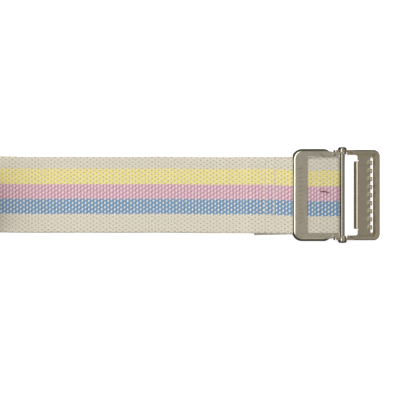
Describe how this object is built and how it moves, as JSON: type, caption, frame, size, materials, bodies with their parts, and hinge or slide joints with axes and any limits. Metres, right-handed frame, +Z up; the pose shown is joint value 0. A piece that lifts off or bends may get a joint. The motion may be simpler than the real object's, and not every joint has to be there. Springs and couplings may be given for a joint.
{
  "type": "luggage strap",
  "caption": "Striped woven cotton strap sewn to a hinged nickel buckle with a toothed clamping frame, its spare length rolled up.",
  "frame": {"origin": "middle of the part's footprint on the surface that it lies on", "axes": "+X along the strap from the roll to the buckle, +Y across the strap, +Z up"},
  "size_m": [0.3214, 0.0636, 0.0632],
  "materials": {
    "webbing": "plain-woven cotton with lengthways stripes",
    "thread": "cream cotton sewing thread",
    "nickel": "polished nickel plate",
    "pin_steel": "satin nickel plate"
  },
  "bodies": {
    "strap": {"webbing_run": "webbing", "webbing_loop": "webbing", "webbing_roll": "webbing", "strap_tip": "nickel", "needle_thread_back_row": "thread", "needle_thread_front_row": "thread", "bobbin_thread_back_row": "thread", "bobbin_thread_front_row": "thread"},
    "lever": {"lever_frame": "nickel"},
    "toothed": {"toothed_frame": "nickel", "hinge_pin": "pin_steel"}
  },
  "joints": [
    {"name": "lever_hinge", "type": "hinge", "parent": "strap", "child": "lever", "pos_m": [0.12556, 0, 0.0029], "axis": [0, 1, 0], "range_deg": [0, 60], "deforming": ["webbing_loop"]},
    {"name": "toothed_hinge", "type": "hinge", "parent": "lever", "child": "toothed", "pos_m": [0.13581, 0, 0.0032], "axis": [0, -1, 0], "range_deg": [-60, 120]}
  ]
}
